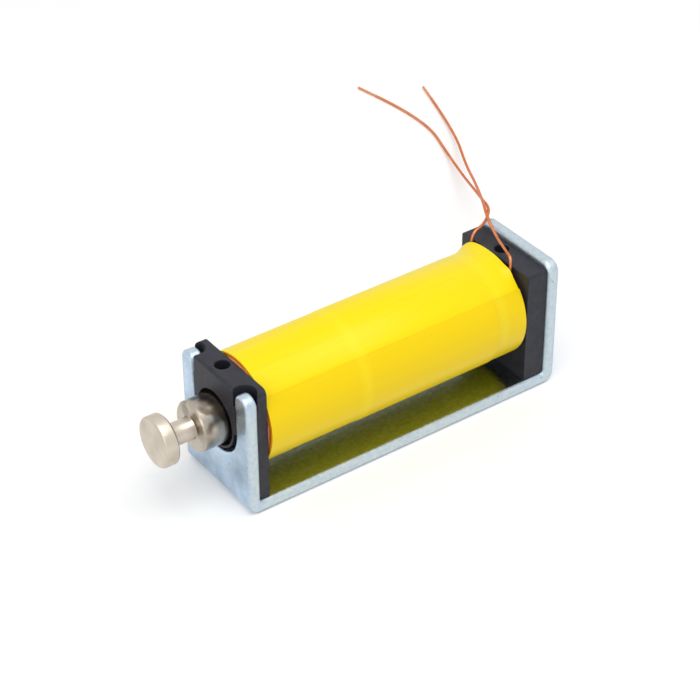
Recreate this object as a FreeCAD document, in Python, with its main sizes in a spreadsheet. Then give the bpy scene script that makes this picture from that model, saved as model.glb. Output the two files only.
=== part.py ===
"""Open-frame push pull solenoid: a coil on a moulded bobbin, held in a bent steel bracket.

The plunger runs along +X into the coil. +Z is up, and the origin is the centre of the
bracket's underside, which is the face that the solenoid is mounted on. Sizes are in
millimetres and live in the spreadsheet; everything else is worked out from them.
"""
import FreeCAD
import Part
import math
import os
import Sketcher
from FreeCAD import Placement, Rotation, Vector

SIZES = {
    # Bracket: one steel strip bent into a channel, its front flange cut into a fork
    "sheet_thickness": 1.2,
    "frame_length": 36.0,
    "frame_width": 10.8,
    "rear_flange_height": 13.9,
    "fork_height": 13.0,
    "bend_inner_radius": 0.3,
    "bend_outer_radius": 1.2,
    "flange_corner_radius": 1.2,
    "fork_outer_radius": 1.0,
    "fork_inner_radius": 0.7,
    "edge_softness": 0.15,
    "edge_rollover": 0.2,
    "slot_width": 6.9,
    "tapped_hole_bore": 1.6,
    "tapped_hole_pitch": 20.0,
    "tapped_hole_offset": 2.4,
    # Height of the coil, bobbin bore and plunger above the underside
    "axis_height": 8.25,
    # Bobbin: front plate, tube and thick rear block in one moulding
    "bobbin_side_gap": 0.3,
    "bobbin_top_height": 13.3,
    "plate_corner_radius": 0.6,
    "block_corner_radius": 0.3,
    "front_plate_thickness": 1.15,
    "prong_relief_radius": 1.15,
    "prong_relief_offset": 0.75,
    "prong_relief_depth": 1.9,
    "boss_edge_radius": 0.3,
    "rear_block_depth": 2.35,
    "boss_side_clearance": 0.05,
    "bobbin_tube_wall": 0.5,
    "mouth_depth": 0.9,
    "mouth_flare": 0.28,
    "pin_hole_bore": 1.5,
    "pin_hole_depth": 1.8,
    "pin_hole_front_wall": 0.55,
    "pin_hole_offset": 0.45,
    # Coil and the tape round it
    "winding_depth": 2.2,
    "tape_thickness": 0.06,
    "tape_layers": 3.0,
    "tape_front_gap": 0.2,
    "tape_rear_gap": 0.36,
    "flap_top_angle": 140.0,
    "flap_wrap_angle": 150.0,
    "patch_start": 13.4,
    "patch_length": 15.3,
    "patch_wrap_angle": 110.0,
    # Plunger: body, narrow neck and coupling head turned from one bar
    "plunger_bore_clearance": 0.05,
    "plunger_diameter": 5.0,
    "plunger_body_length": 17.4,
    "plunger_reach": 2.6,
    "plunger_edge_chamfer": 0.15,
    "neck_diameter": 2.2,
    "neck_length": 2.6,
    "head_diameter": 5.0,
    "head_length": 1.4,
    "head_edge_chamfer": 0.2,
    "stroke": 5.0,
    # Push rod, fixed core and the thin washer that the plunger stops against
    "rod_diameter": 1.6,
    "rod_socket_depth": 3.0,
    "rod_reach": 1.0,
    "rod_tip_chamfer": 0.25,
    "rod_core_clearance": 0.06,
    "core_bobbin_clearance": 0.03,
    "core_tail_diameter": 3.6,
    "stake_head_diameter": 4.6,
    "stake_head_height": 0.35,
    "stop_washer_thickness": 0.2,
    "stop_washer_clearance": 0.15,
    # Leads: the two ends of the winding wire
    "lead_diameter": 0.3,
    "lead_tip_length": 3.0,
    "lead_tip_diameter": 0.28,
    "arc_share": 0.45,
}

# Free-lying routes of the two winding ends, in millimetres, from the coil to the floor
START_LEAD_ROUTE = [
    (14.27, 3.32, 12.4), (14.12, 3.4, 14.05), (16.9, 4.35, 14.5), (20.25, 8.6, 12.6),
    (26.2, 17.6, 6.85), (38.6, 37.2, 0.2), (37.78, 51.01, 0.2),
]
FINISH_LEAD_ROUTE = [
    (14.27, -2.55, 12.82), (14.24, -2.72, 14.3), (14.95, -0.2, 14.2), (16.3, 4.3, 15.3),
    (20.8, 10.2, 12.6), (29.3, 22.2, 6.15), (40.0, 38.3, 0.2), (43.1, 47.55, 0.2),
]

# Sizes that follow from the ones above, as expressions of the spreadsheet's names
FRAME_FRONT = "-Sizes.frame_length / 2"
FRAME_BACK = "Sizes.frame_length / 2"
HALF_WIDTH = "Sizes.frame_width / 2"
SLOT_RADIUS = "Sizes.slot_width / 2"
PLATE_FRONT = f"({FRAME_FRONT} + Sizes.sheet_thickness)"
PLATE_BACK = f"({PLATE_FRONT} + Sizes.front_plate_thickness)"
BLOCK_BACK = f"({FRAME_BACK} - Sizes.sheet_thickness)"
BLOCK_FRONT = f"({BLOCK_BACK} - Sizes.rear_block_depth)"
BOBBIN_HALF_WIDTH = f"({HALF_WIDTH} - Sizes.bobbin_side_gap)"
BOSS_HALF_WIDTH = f"({SLOT_RADIUS} - Sizes.boss_side_clearance)"
BORE_RADIUS = "(Sizes.plunger_diameter / 2 + Sizes.plunger_bore_clearance)"
TUBE_RADIUS = f"({BORE_RADIUS} + Sizes.bobbin_tube_wall)"
MOUTH_RADIUS = f"({BORE_RADIUS} + Sizes.mouth_flare)"
WINDING_RADIUS = f"({TUBE_RADIUS} + Sizes.winding_depth)"
WRAP_RADIUS = f"({WINDING_RADIUS} + Sizes.tape_layers * Sizes.tape_thickness)"
PATCH_RADIUS = f"({WRAP_RADIUS} + Sizes.tape_thickness)"
TAPE_FRONT = f"({PLATE_BACK} + Sizes.tape_front_gap)"
TAPE_BACK = f"({BLOCK_FRONT} - Sizes.tape_rear_gap)"
SHOULDER = f"({FRAME_FRONT} - Sizes.plunger_reach)"
PLUNGER_END = f"({SHOULDER} + Sizes.plunger_body_length)"
NECK_FRONT = f"({SHOULDER} - Sizes.neck_length)"
HEAD_FRONT = f"({NECK_FRONT} - Sizes.head_length)"
WASHER_FRONT = f"({PLUNGER_END} + Sizes.stroke)"
CORE_FRONT = f"({WASHER_FRONT} + Sizes.stop_washer_thickness)"
CORE_RADIUS = f"({BORE_RADIUS} - Sizes.core_bobbin_clearance)"
CORE_BORE_RADIUS = "(Sizes.rod_diameter / 2 + Sizes.rod_core_clearance)"
STAKE_BACK = f"({FRAME_BACK} + Sizes.stake_head_height)"
ROD_FRONT = f"({PLUNGER_END} - Sizes.rod_socket_depth)"
ROD_BACK = f"({FRAME_BACK} + Sizes.rod_reach)"

doc = FreeCAD.newDocument("push_pull_solenoid")
sheet = doc.addObject("Spreadsheet::Sheet", "Sizes")


def fill_sheet():
    """Writes each driving size into its own named cell."""
    for row, (alias, size) in enumerate(SIZES.items(), start=1):
        sheet.set(f"A{row}", alias)
        sheet.set(f"B{row}", str(size))
        sheet.setAlias(f"B{row}", alias)
    doc.recompute()


def number(expression):
    """Value of an expression of the sheet's names, in millimetres or degrees."""
    return float(sheet.evalExpression(expression.replace("Sizes.", "")))


def new_body(label, on_axis=False):
    """An empty body, standing on the coil's axis where it is a turned or wound piece."""
    body = doc.addObject("PartDesign::Body", label)
    body.Label = label
    if on_axis:
        body.setExpression("Placement.Base.z", "Sizes.axis_height")
    return body


def sketch_on(body, name, role, offset=None):
    """A sketch on one of the body's own planes, moved along its normal by an expression."""
    plane = next(item for item in body.Origin.OriginFeatures if item.Role == role)
    sketch = body.newObject("Sketcher::SketchObject", name)
    sketch.AttachmentSupport = (plane, [""])
    sketch.MapMode = "FlatFace"
    if offset:
        sketch.setExpression("AttachmentOffset.Base.z", offset)
    return sketch


def bind(sketch, kind, element, point, expression):
    """Ties one coordinate of a sketch point to an expression."""
    if expression == "0":
        axis = -1 if kind == "DistanceY" else -2
        sketch.addConstraint(Sketcher.Constraint("PointOnObject", element, point, axis))
        return
    constraint = Sketcher.Constraint(kind, -1, 1, element, point, number(expression))
    index = sketch.addConstraint(constraint)
    sketch.setExpression(f"Constraints[{index}]", expression)


def add_outline(sketch, corners):
    """Closed outline of straight lines through corners, each a pair of expressions."""
    points = [Vector(number(across), number(up), 0) for across, up in corners]
    first = sketch.GeometryCount
    count = len(points)
    for index in range(count):
        sketch.addGeometry(Part.LineSegment(points[index], points[(index + 1) % count]), False)
    for index in range(count):
        following = first + (index + 1) % count
        sketch.addConstraint(Sketcher.Constraint("Coincident", first + index, 2, following, 1))
    for index, (across, up) in enumerate(corners):
        bind(sketch, "DistanceX", first + index, 1, across)
        bind(sketch, "DistanceY", first + index, 1, up)


def add_circle(sketch, across, up, radius):
    """A circle with its centre and radius tied to expressions."""
    centre = Vector(number(across), number(up), 0)
    element = sketch.addGeometry(Part.Circle(centre, Vector(0, 0, 1), number(radius)), False)
    bind(sketch, "DistanceX", element, 3, across)
    bind(sketch, "DistanceY", element, 3, up)
    index = sketch.addConstraint(Sketcher.Constraint("Radius", element, number(radius)))
    sketch.setExpression(f"Constraints[{index}]", radius)


def box_outline(left, right, low, high):
    """The four corners of an upright rectangle."""
    return [(left, low), (right, low), (right, high), (left, high)]


def pad(body, name, sketch, length, centred=False):
    """Adds the sketch's outline, pulled along its normal or to both sides of its plane."""
    feature = body.newObject("PartDesign::Pad", name)
    feature.Profile = sketch
    feature.setExpression("Length", length)
    if centred:
        feature.SideType = "Symmetric"
    doc.recompute()
    return feature


def pocket(body, name, sketch, depth, along_normal=False):
    """Cuts the sketch's outline out of the body, and checks that it removed material."""
    before = body.Shape.Volume
    feature = body.newObject("PartDesign::Pocket", name)
    feature.Profile = sketch
    feature.setExpression("Length", depth)
    feature.Reversed = along_normal
    doc.recompute()
    if body.Shape.Volume >= before:
        raise RuntimeError(f"{name} cut nothing")
    return feature


def revolve(body, name, sketch, angle="360"):
    """Turns the sketch's outline about the body's X axis."""
    feature = body.newObject("PartDesign::Revolution", name)
    feature.Profile = sketch
    feature.ReferenceAxis = (sketch, ["H_Axis"])
    feature.setExpression("Angle", angle)
    doc.recompute()
    return feature


def groove(body, name, sketch):
    """Turns the sketch's outline about the body's X axis and cuts it out."""
    before = body.Shape.Volume
    feature = body.newObject("PartDesign::Groove", name)
    feature.Profile = sketch
    feature.ReferenceAxis = (sketch, ["H_Axis"])
    feature.Angle = 360
    doc.recompute()
    if body.Shape.Volume >= before:
        raise RuntimeError(f"{name} cut nothing")
    return feature


def round_edges(body, name, radius, chosen):
    """Fillets every edge of the body so far for which chosen(edge) is true."""
    return soften(body, "PartDesign::Fillet", name, "Radius", radius, chosen)


def chamfer_edges(body, name, size, chosen):
    """Chamfers every edge of the body so far for which chosen(edge) is true."""
    return soften(body, "PartDesign::Chamfer", name, "Size", size, chosen)


def soften(body, kind, name, size_name, size, chosen):
    """Adds a fillet or chamfer to the edges that chosen() picks."""
    base = body.Tip
    edges = base.Shape.Edges
    names = [f"Edge{index}" for index, edge in enumerate(edges, start=1) if chosen(edge)]
    feature = body.newObject(kind, name)
    feature.Base = (base, names)
    feature.setExpression(size_name, size)
    doc.recompute()
    return feature


def near(value, target, slack=1e-4):
    """Whether two lengths are equal for the purpose of finding an edge."""
    return abs(value - target) < slack


def runs_along_x(edge):
    """Whether an edge is a straight line along X."""
    box = edge.BoundBox
    return box.XLength > 1e-4 and box.YLength < 1e-4 and box.ZLength < 1e-4


def make_bracket():
    """Bends the strip, cuts the fork and the core's hole, and softens the sheared edges."""
    body = new_body("frame_bracket")
    profile = sketch_on(body, "channel_profile", "XZ_Plane")
    add_outline(profile, [
        (FRAME_FRONT, "0"), (FRAME_BACK, "0"), (FRAME_BACK, "Sizes.rear_flange_height"),
        (BLOCK_BACK, "Sizes.rear_flange_height"), (BLOCK_BACK, "Sizes.sheet_thickness"),
        (PLATE_FRONT, "Sizes.sheet_thickness"), (PLATE_FRONT, "Sizes.fork_height"),
        (FRAME_FRONT, "Sizes.fork_height"),
    ])
    pad(body, "channel", profile, "Sizes.frame_width", centred=True)

    width = number("Sizes.frame_width")
    thickness = number("Sizes.sheet_thickness")
    front, back = number(FRAME_FRONT), number(FRAME_BACK)

    def at_bend(edge, height, inset):
        box = edge.BoundBox
        on_line = near(box.ZMin, height) and near(box.ZMax, height) and near(box.YLength, width)
        return on_line and near(abs(box.XMin), back - inset) and near(box.XMin, box.XMax)

    round_edges(body, "bend_insides", "Sizes.bend_inner_radius",
                lambda edge: at_bend(edge, thickness, thickness))
    round_edges(body, "bend_outsides", "Sizes.bend_outer_radius",
                lambda edge: at_bend(edge, 0.0, 0.0))

    fork = sketch_on(body, "fork_sides", "YZ_Plane", FRAME_FRONT)
    add_outline(fork, box_outline(f"-{SLOT_RADIUS}", SLOT_RADIUS, "Sizes.axis_height",
                                  "Sizes.fork_height + Sizes.sheet_thickness"))
    pocket(body, "fork_slot", fork, "Sizes.sheet_thickness", along_normal=True)
    floor = sketch_on(body, "fork_floor", "YZ_Plane", FRAME_FRONT)
    add_circle(floor, "0", "Sizes.axis_height", SLOT_RADIUS)
    pocket(body, "fork_round_floor", floor, "Sizes.sheet_thickness", along_normal=True)

    tail = sketch_on(body, "tail_hole_circle", "YZ_Plane", BLOCK_BACK)
    add_circle(tail, "0", "Sizes.axis_height", "Sizes.core_tail_diameter / 2")
    pocket(body, "tail_hole", tail, "Sizes.sheet_thickness", along_normal=True)

    holes = sketch_on(body, "tapped_hole_circles", "XY_Plane")
    for side in ("-", ""):
        add_circle(holes, f"{side}Sizes.tapped_hole_pitch / 2", "Sizes.tapped_hole_offset",
                   "Sizes.tapped_hole_bore / 2")
    pocket(body, "tapped_holes", holes, "Sizes.sheet_thickness", along_normal=True)

    half = width / 2
    rear_top = number("Sizes.rear_flange_height")
    fork_top = number("Sizes.fork_height")
    slot = number(SLOT_RADIUS)

    def corner_at(edge, at_x, at_y, height):
        box = edge.BoundBox
        in_flange = runs_along_x(edge) and near((box.XMin + box.XMax) / 2, at_x)
        return in_flange and near(abs(box.YMin), at_y) and near(box.ZMin, height)

    in_front = front + thickness / 2
    in_back = back - thickness / 2
    round_edges(body, "rear_flange_corners", "Sizes.flange_corner_radius",
                lambda edge: corner_at(edge, in_back, half, rear_top))
    round_edges(body, "fork_outer_corners", "Sizes.fork_outer_radius",
                lambda edge: corner_at(edge, in_front, half, fork_top))
    round_edges(body, "fork_inner_corners", "Sizes.fork_inner_radius",
                lambda edge: corner_at(edge, in_front, slot, fork_top))

    def on_side(edge):
        box = edge.BoundBox
        return near(abs(box.YMin), half) and near(box.YMin, box.YMax)

    def faces_inwards(edge):
        box = edge.BoundBox
        between = box.XMin > front + thickness / 2 and box.XMax < back - thickness / 2
        return on_side(edge) and between and box.ZMin > thickness / 2

    def faces_outwards(edge):
        box = edge.BoundBox
        middle = (box.XMin + box.XMax) / 2
        at_end = near(box.XMin, front, 1e-3) or near(box.XMax, back, 1e-3)
        across_top = near(box.XLength, thickness, 1e-3)
        below = near(box.ZMin, 0.0, 1e-3) and near(middle, 0.0, 1e-3)
        return on_side(edge) and (at_end or below) and not across_top

    chamfer_edges(body, "rolled_inner_edges", "Sizes.edge_rollover", faces_inwards)
    chamfer_edges(body, "outer_edges", "Sizes.edge_softness", faces_outwards)
    return body


def make_bobbin():
    """One moulding: plate and boss at the front, thin tube, thick block at the rear."""
    body = new_body("bobbin")
    tube = sketch_on(body, "tube_circle", "YZ_Plane", FRAME_FRONT)
    add_circle(tube, "0", "Sizes.axis_height", TUBE_RADIUS)
    pad(body, "tube", tube, f"{BLOCK_BACK} - {FRAME_FRONT}")

    half = BOBBIN_HALF_WIDTH
    plate = sketch_on(body, "front_plate_outline", "YZ_Plane", PLATE_FRONT)
    add_outline(plate, box_outline(f"-{half}", half, "Sizes.sheet_thickness",
                                   "Sizes.bobbin_top_height"))
    pad(body, "front_plate", plate, "Sizes.front_plate_thickness")
    block = sketch_on(body, "rear_block_outline", "YZ_Plane", BLOCK_FRONT)
    add_outline(block, box_outline(f"-{half}", half, "Sizes.sheet_thickness",
                                   "Sizes.bobbin_top_height"))
    pad(body, "rear_block", block, "Sizes.rear_block_depth")
    boss = sketch_on(body, "boss_outline", "YZ_Plane", FRAME_FRONT)
    add_outline(boss, box_outline(f"-{BOSS_HALF_WIDTH}", BOSS_HALF_WIDTH, "Sizes.axis_height",
                                  "Sizes.bobbin_top_height"))
    pad(body, "boss", boss, "Sizes.sheet_thickness")

    bottom = number("Sizes.sheet_thickness")
    ends = (number(PLATE_FRONT), number(BLOCK_BACK))

    def in_bend(edge):
        box = edge.BoundBox
        across = near(box.ZMin, bottom) and near(box.ZMax, bottom) and box.YLength > 1.0
        return across and any(near(box.XMin, x) and near(box.XMax, x) for x in ends)

    chamfer_edges(body, "bend_clearances", "Sizes.bend_inner_radius", in_bend)

    front_face = number(FRAME_FRONT)
    top = number("Sizes.bobbin_top_height")

    def boss_edge(edge):
        box = edge.BoundBox
        return near(box.XMin, front_face) and near(box.XMax, front_face) and near(box.ZMin, top)

    round_edges(body, "boss_top_edge", "Sizes.boss_edge_radius", boss_edge)

    reliefs = sketch_on(body, "prong_relief_circles", "XY_Plane", "Sizes.bobbin_top_height")
    prong_middle = f"{FRAME_FRONT} + Sizes.sheet_thickness / 2"
    for side in ("-", ""):
        add_circle(reliefs, prong_middle, f"{side}({SLOT_RADIUS} + Sizes.prong_relief_offset)",
                   "Sizes.prong_relief_radius")
    pocket(body, "prong_reliefs", reliefs, "Sizes.prong_relief_depth")

    bore = sketch_on(body, "bore_circle", "YZ_Plane", FRAME_FRONT)
    add_circle(bore, "0", "Sizes.axis_height", BORE_RADIUS)
    pocket(body, "bore", bore, f"{BLOCK_BACK} - {FRAME_FRONT}", along_normal=True)
    mouth = sketch_on(body, "mouth_circle", "YZ_Plane", FRAME_FRONT)
    add_circle(mouth, "0", "Sizes.axis_height", MOUTH_RADIUS)
    pocket(body, "bore_mouth", mouth, "Sizes.mouth_depth", along_normal=True)

    pins = sketch_on(body, "pin_hole_circles", "XY_Plane", "Sizes.bobbin_top_height")
    front_pin = f"{FRAME_FRONT} + Sizes.pin_hole_front_wall + Sizes.pin_hole_bore / 2"
    rear_pin = f"{BLOCK_FRONT} + Sizes.rear_block_depth / 2"
    add_circle(pins, front_pin, "Sizes.pin_hole_offset", "Sizes.pin_hole_bore / 2")
    add_circle(pins, rear_pin, "Sizes.pin_hole_offset", "Sizes.pin_hole_bore / 2")
    pocket(body, "pin_holes", pins, "Sizes.pin_hole_depth")

    side = number(half)

    def top_corner(edge, front, back):
        box = edge.BoundBox
        on_piece = box.XMin > front - 1e-3 and box.XMax < back + 1e-3
        at_corner = near(abs(box.YMin), side) and near(box.ZMin, top)
        return runs_along_x(edge) and on_piece and at_corner

    plate_ends = (number(PLATE_FRONT), number(PLATE_BACK))
    block_ends = (number(BLOCK_FRONT), number(BLOCK_BACK))
    round_edges(body, "plate_corners", "Sizes.plate_corner_radius",
                lambda edge: top_corner(edge, *plate_ends))
    round_edges(body, "block_corners", "Sizes.block_corner_radius",
                lambda edge: top_corner(edge, *block_ends))
    return body


def make_ring(label, front, back, inner, outer):
    """A plain tube about the coil's axis, between two stations along it."""
    body = new_body(label, on_axis=True)
    section = sketch_on(body, f"{label}_section", "XZ_Plane")
    add_outline(section, box_outline(front, back, inner, outer))
    revolve(body, f"{label}_turned", section)
    return body


def make_tape_sheet(label, front, back, inner, wrap_angle):
    """A piece of tape that goes part of the way round, down from the flap's top edge."""
    body = new_body(label, on_axis=True)
    section = sketch_on(body, f"{label}_section", "XZ_Plane")
    add_outline(section, box_outline(front, back, inner, f"{inner} + Sizes.tape_thickness"))
    revolve(body, f"{label}_wrapped", section, wrap_angle)
    body.setExpression("Placement.Rotation.Axis.x", "1")
    body.setExpression("Placement.Rotation.Axis.y", "0")
    body.setExpression("Placement.Rotation.Axis.z", "0")
    body.setExpression("Placement.Rotation.Angle", "(Sizes.flap_top_angle - 90) * 1 deg")
    return body


def make_plunger():
    """Head, neck and body in one turned profile, with the rod's socket in its rear end."""
    body = new_body("plunger", on_axis=True)
    profile = sketch_on(body, "plunger_profile", "XZ_Plane")
    body_radius = "Sizes.plunger_diameter / 2"
    neck_radius = "Sizes.neck_diameter / 2"
    head_radius = "Sizes.head_diameter / 2"
    add_outline(profile, [
        (HEAD_FRONT, "0"), (PLUNGER_END, "0"), (PLUNGER_END, body_radius),
        (SHOULDER, body_radius), (SHOULDER, neck_radius), (NECK_FRONT, neck_radius),
        (NECK_FRONT, head_radius), (HEAD_FRONT, head_radius),
    ])
    revolve(body, "plunger_turned", profile)
    socket = sketch_on(body, "rod_socket_section", "XZ_Plane")
    add_outline(socket, box_outline(ROD_FRONT, PLUNGER_END, "0", "Sizes.rod_diameter / 2"))
    groove(body, "rod_socket", socket)

    head = number(head_radius)
    barrel = number(body_radius)

    def rim(edge, radius, stations):
        box = edge.BoundBox
        full = near(box.YLength, 2 * radius, 0.01) and box.XLength < 1e-4
        return full and any(near(box.XMin, station) for station in stations)

    head_ends = (number(HEAD_FRONT), number(NECK_FRONT))
    body_ends = (number(SHOULDER), number(PLUNGER_END))
    chamfer_edges(body, "head_rims", "Sizes.head_edge_chamfer",
                  lambda edge: rim(edge, head, head_ends))
    chamfer_edges(body, "body_rims", "Sizes.plunger_edge_chamfer",
                  lambda edge: rim(edge, barrel, body_ends))
    return body


def make_push_rod():
    """Rod pressed into the plunger, running through the core and out at the rear."""
    body = new_body("push_rod", on_axis=True)
    section = sketch_on(body, "rod_section", "XZ_Plane")
    add_outline(section, box_outline(ROD_FRONT, ROD_BACK, "0", "Sizes.rod_diameter / 2"))
    revolve(body, "rod_turned", section)
    tip = number(ROD_BACK)
    chamfer_edges(body, "rod_tip", "Sizes.rod_tip_chamfer",
                  lambda edge: near(edge.BoundBox.XMin, tip) and edge.BoundBox.YLength > 1e-3)
    return body


def make_fixed_core():
    """Core with a tail staked over behind the rear flange, bored for the push rod."""
    body = new_body("fixed_core", on_axis=True)
    profile = sketch_on(body, "core_profile", "XZ_Plane")
    tail_radius = "Sizes.core_tail_diameter / 2"
    stake_radius = "Sizes.stake_head_diameter / 2"
    add_outline(profile, [
        (CORE_FRONT, CORE_BORE_RADIUS), (STAKE_BACK, CORE_BORE_RADIUS),
        (STAKE_BACK, stake_radius), (FRAME_BACK, stake_radius), (FRAME_BACK, tail_radius),
        (BLOCK_BACK, tail_radius), (BLOCK_BACK, CORE_RADIUS), (CORE_FRONT, CORE_RADIUS),
    ])
    revolve(body, "core_turned", profile)
    back = number(STAKE_BACK)
    stake = number(stake_radius)

    def stake_rim(edge):
        box = edge.BoundBox
        return near(box.XMin, back) and near(box.YLength, 2 * stake, 0.01)

    chamfer_edges(body, "stake_rim", "Sizes.stake_head_height / 2", stake_rim)
    return body


def lead_path(points):
    """Straight runs through the points, joined by arcs as large as the runs allow."""
    share = number("Sizes.arc_share")
    edges = []
    radii = []
    start = points[0]
    for before, corner, after in zip(points, points[1:], points[2:]):
        run_in = corner - before
        run_out = after - corner
        turn = run_in.getAngle(run_out)
        reach = share * min(run_in.Length, run_out.Length)
        run_in.normalize()
        run_out.normalize()
        arc_start = corner - run_in * reach
        arc_end = corner + run_out * reach
        radius = reach / math.tan(turn / 2)
        radii.append(radius)
        inward = run_out - run_in
        inward.normalize()
        centre = corner + inward * (radius / math.cos(turn / 2))
        middle = centre - inward * radius
        edges.append(Part.LineSegment(start, arc_start).toShape())
        edges.append(Part.Arc(arc_start, middle, arc_end).toShape())
        start = arc_end
    edges.append(Part.LineSegment(start, points[-1]).toShape())
    return Part.Wire(edges), radii


def make_lead(label, route):
    """One winding end as a round tube along its route, and the bare tip that ends it."""
    points = [Vector(*point) for point in route]
    path, radii = lead_path(points)
    radius = number("Sizes.lead_diameter / 2")
    section = Part.Wire(Part.Circle(points[0], points[1] - points[0], radius).toShape())
    lead = doc.addObject("Part::Feature", label)
    lead.Label = label
    lead.Shape = path.makePipeShell([section], True, False)
    lead.Placement = Placement()
    ideal = math.pi * radius ** 2 * path.Length
    print(f"{label}: length {path.Length:.2f}, volume {lead.Shape.Volume / ideal:.4f} of ideal,"
          f" radii {[round(each, 2) for each in radii]}")

    tip = doc.addObject("Part::Cylinder", f"{label}_tip")
    tip.Label = f"{label}_tip"
    tip.setExpression("Radius", "Sizes.lead_tip_diameter / 2")
    tip.setExpression("Height", "Sizes.lead_tip_length")
    direction = points[-1] - points[-2]
    tip.Placement = Placement(points[-1], Rotation(Vector(0, 0, 1), direction))
    return [lead, tip]


def check_objects():
    """Stops if any object failed to build."""
    for item in doc.Objects:
        if "Invalid" in item.State or "Error" in item.State:
            raise RuntimeError(f"{item.Label} did not build: {item.State}")


def export(parts):
    """Checks each piece's solid and writes it to its own file."""
    os.makedirs("parts", exist_ok=True)
    for piece in parts:
        shape = piece.Shape
        if shape.isNull() or not shape.isValid():
            raise RuntimeError(f"{piece.Label} has no valid shape")
        shape.exportStep(f"parts/{piece.Label}.step")
        box = shape.BoundBox
        print(f"{piece.Label:16s} volume {shape.Volume:9.3f}  x {box.XMin:7.2f} {box.XMax:7.2f}"
              f"  y {box.YMin:6.2f} {box.YMax:6.2f}  z {box.ZMin:6.2f} {box.ZMax:6.2f}")


def main():
    """Builds every piece in its place."""
    fill_sheet()
    patch_front = f"({FRAME_FRONT} + Sizes.patch_start)"
    parts = [
        make_bracket(),
        make_bobbin(),
        make_ring("coil_winding", PLATE_BACK, BLOCK_FRONT, TUBE_RADIUS, WINDING_RADIUS),
        make_ring("tape_wrap", TAPE_FRONT, TAPE_BACK, WINDING_RADIUS, WRAP_RADIUS),
        make_tape_sheet("tape_patch", patch_front, f"{patch_front} + Sizes.patch_length",
                        WRAP_RADIUS, "Sizes.patch_wrap_angle"),
        make_tape_sheet("tape_end_flap", TAPE_FRONT, TAPE_BACK, PATCH_RADIUS,
                        "Sizes.flap_wrap_angle"),
        make_plunger(),
        make_push_rod(),
        make_fixed_core(),
        make_ring("stop_washer", WASHER_FRONT, CORE_FRONT,
                  f"{CORE_BORE_RADIUS} + Sizes.stop_washer_clearance",
                  f"{CORE_RADIUS} - Sizes.stop_washer_clearance"),
    ]
    parts += make_lead("lead_start", START_LEAD_ROUTE)
    parts += make_lead("lead_finish", FINISH_LEAD_ROUTE)
    doc.recompute()
    check_objects()
    export(parts)


main()
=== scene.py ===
"""Looks of an open-frame push pull solenoid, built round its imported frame.

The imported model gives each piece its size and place. This script turns the plunger's surfaces,
winds the copper, lays the film tape, runs the two free winding ends, gives every piece its finish,
and sets up a pale studio with the photograph's camera. Everything is in metres and in the part's
own axes: +X runs from the plunger's head to the rear flange, and +Z is up from the mounting face.
"""

import logging
import math
from dataclasses import dataclass
from enum import Enum
from typing import ClassVar

import bmesh
import bpy
from mathutils import Matrix, Vector


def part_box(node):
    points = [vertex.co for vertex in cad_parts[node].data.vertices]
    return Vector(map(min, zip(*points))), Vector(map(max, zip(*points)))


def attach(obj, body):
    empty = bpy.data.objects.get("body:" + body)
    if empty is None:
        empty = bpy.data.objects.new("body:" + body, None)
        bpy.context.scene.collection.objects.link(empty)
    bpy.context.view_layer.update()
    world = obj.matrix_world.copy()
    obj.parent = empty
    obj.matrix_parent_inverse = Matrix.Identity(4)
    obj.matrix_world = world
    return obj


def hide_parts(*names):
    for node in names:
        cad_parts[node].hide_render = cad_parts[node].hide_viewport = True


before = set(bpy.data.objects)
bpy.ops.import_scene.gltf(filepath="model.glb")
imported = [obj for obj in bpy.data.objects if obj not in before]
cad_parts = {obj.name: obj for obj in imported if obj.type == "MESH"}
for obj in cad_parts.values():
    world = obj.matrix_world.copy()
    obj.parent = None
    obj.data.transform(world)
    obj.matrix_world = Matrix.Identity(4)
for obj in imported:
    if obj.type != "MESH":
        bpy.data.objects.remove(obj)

Colour = tuple[float, float, float, float]
Sockets = dict[str | int, object]

MM = 0.001
WHITE: Colour = (1.0, 1.0, 1.0, 1.0)
SHARP_ANGLE = math.radians(35)
MERGE_DISTANCE = 1e-7
WAVE_BAND_ANGLE = 20.0  # radians that a Wave texture's bands turn in one unit, at a scale of 1
SHARE, FIRST, SECOND, MIXED = 0, 6, 7, 2  # sockets of a Mix node that mixes colours
log = logging.getLogger("solenoid")


class Ride(Enum):
    """The two bodies that move against each other."""

    FRAME = "frame"
    PLUNGER = "plunger"


def linear(code: str) -> Colour:
    """Turns an sRGB hex colour into the linear one that a shader takes, by the sRGB curve.

    Args:
        code: six hex digits, red first.

    Returns:
        Red, green, blue and an alpha of one.
    """
    shares = [int(code[start:start + 2], 16) / 255 for start in (0, 2, 4)]
    red, green, blue = (share / 12.92 if share <= 0.04045 else ((share + 0.055) / 1.055) ** 2.4
                        for share in shares)
    return red, green, blue, 1.0


def set_up(tree: bpy.types.NodeTree, node: bpy.types.Node, settings: Sockets,
           links: Sockets) -> None:
    """Sets a node up and joins it to what feeds it.

    Args:
        tree: the node's tree.
        node: the node.
        settings: values by input name or number, or by the node's own property name.
        links: output sockets by the input name or number that they feed.
    """
    for name, value in settings.items():
        if isinstance(name, str) and hasattr(node, name):
            setattr(node, name, value)
        else:
            node.inputs[name].default_value = value
    for name, source in links.items():
        tree.links.new(source, node.inputs[name])


def add_node(tree: bpy.types.NodeTree, kind: str, settings: Sockets | None = None,
             links: Sockets | None = None) -> bpy.types.Node:
    """Adds a node with its settings and links, as set_up takes them.

    Args:
        tree: the node tree that takes it.
        kind: the node's type name.
        settings: its values.
        links: what feeds it.

    Returns:
        The new node.
    """
    node = tree.nodes.new(kind)
    set_up(tree, node, settings or {}, links or {})
    return node


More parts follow.
